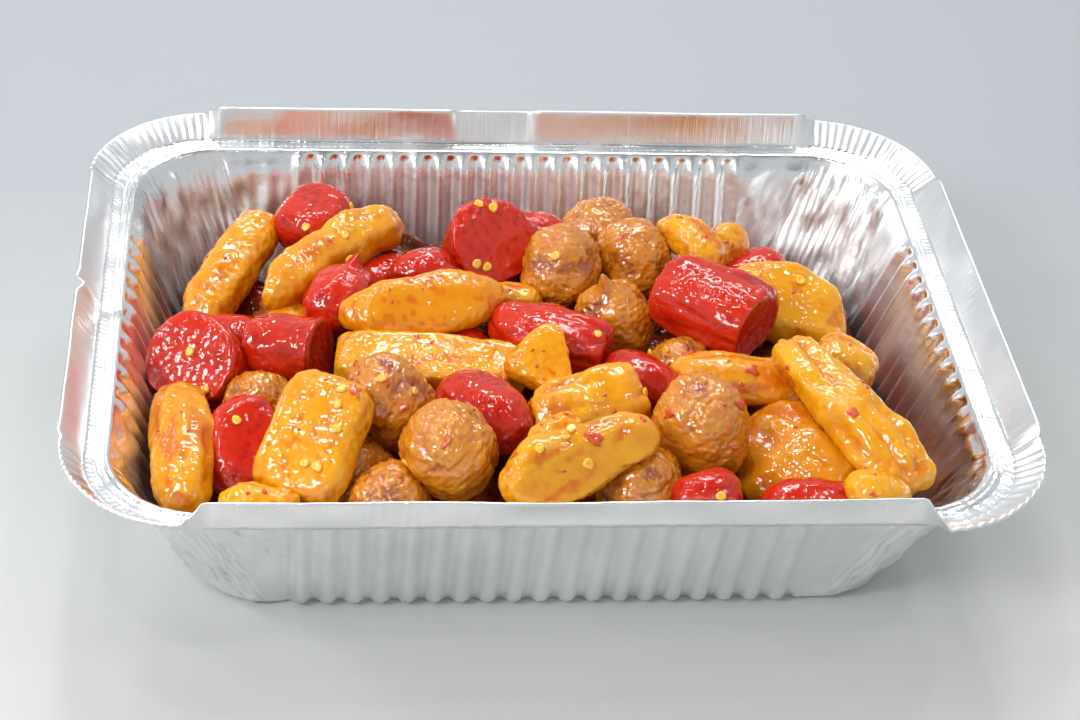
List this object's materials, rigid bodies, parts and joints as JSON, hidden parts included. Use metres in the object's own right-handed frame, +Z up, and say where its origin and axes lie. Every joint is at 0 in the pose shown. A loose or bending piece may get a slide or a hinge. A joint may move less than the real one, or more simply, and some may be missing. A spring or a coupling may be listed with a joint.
{
  "type": "foil tray meal",
  "caption": "Rectangular fluted foil takeaway tray with an upright pleated flange, filled with glazed meatballs and pieces of red and yellow pepper in a dark sauce.",
  "frame": {"origin": "on the table, under the middle of the tray's overall box", "axes": "+X along the long side of the tray to the right, +Y to its back, +Z up"},
  "size_m": [0.2178, 0.1638, 0.0498],
  "materials": {
    "tray_foil": "bright rolled foil, satin outside",
    "sauce": "dark red-brown glossy sauce",
    "yellow_pepper": "cooked yellow pepper under a thin glaze",
    "red_pepper": "cooked red pepper under a thin glaze",
    "meatball": "browned minced meat under a thin glaze"
  },
  "bodies": {
    "root": {"tray": "tray_foil", "sauce_bed": "sauce", "yellow_pepper_01": "yellow_pepper", "yellow_pepper_02": "yellow_pepper", "yellow_pepper_03": "yellow_pepper", "yellow_pepper_04": "yellow_pepper", "yellow_pepper_05": "yellow_pepper", "yellow_pepper_06": "yellow_pepper", "yellow_pepper_07": "yellow_pepper", "yellow_pepper_08": "yellow_pepper", "yellow_pepper_09": "yellow_pepper", "yellow_pepper_10": "yellow_pepper", "yellow_pepper_11": "yellow_pepper", "yellow_pepper_12": "yellow_pepper", "yellow_pepper_13": "yellow_pepper", "yellow_pepper_14": "yellow_pepper", "yellow_pepper_15": "yellow_pepper", "yellow_pepper_16": "yellow_pepper", "yellow_pepper_17": "yellow_pepper", "yellow_pepper_18": "yellow_pepper", "yellow_pepper_19": "yellow_pepper", "yellow_pepper_20": "yellow_pepper", "yellow_pepper_21": "yellow_pepper", "red_pepper_01": "red_pepper", "red_pepper_02": "red_pepper", "red_pepper_03": "red_pepper", "red_pepper_04": "red_pepper", "red_pepper_05": "red_pepper", "red_pepper_06": "red_pepper", "red_pepper_07": "red_pepper", "red_pepper_08": "red_pepper", "red_pepper_09": "red_pepper", "red_pepper_10": "red_pepper", "red_pepper_11": "red_pepper", "red_pepper_12": "red_pepper", "red_pepper_13": "red_pepper", "red_pepper_14": "red_pepper", "red_pepper_15": "red_pepper", "red_pepper_16": "red_pepper", "red_pepper_17": "red_pepper", "red_pepper_18": "red_pepper", "meatball_01": "meatball", "meatball_02": "meatball", "meatball_03": "meatball", "meatball_04": "meatball", "meatball_05": "meatball", "meatball_06": "meatball", "meatball_07": "meatball", "meatball_08": "meatball", "meatball_09": "meatball", "meatball_10": "meatball", "meatball_11": "meatball", "meatball_12": "meatball"}
  },
  "joints": []
}
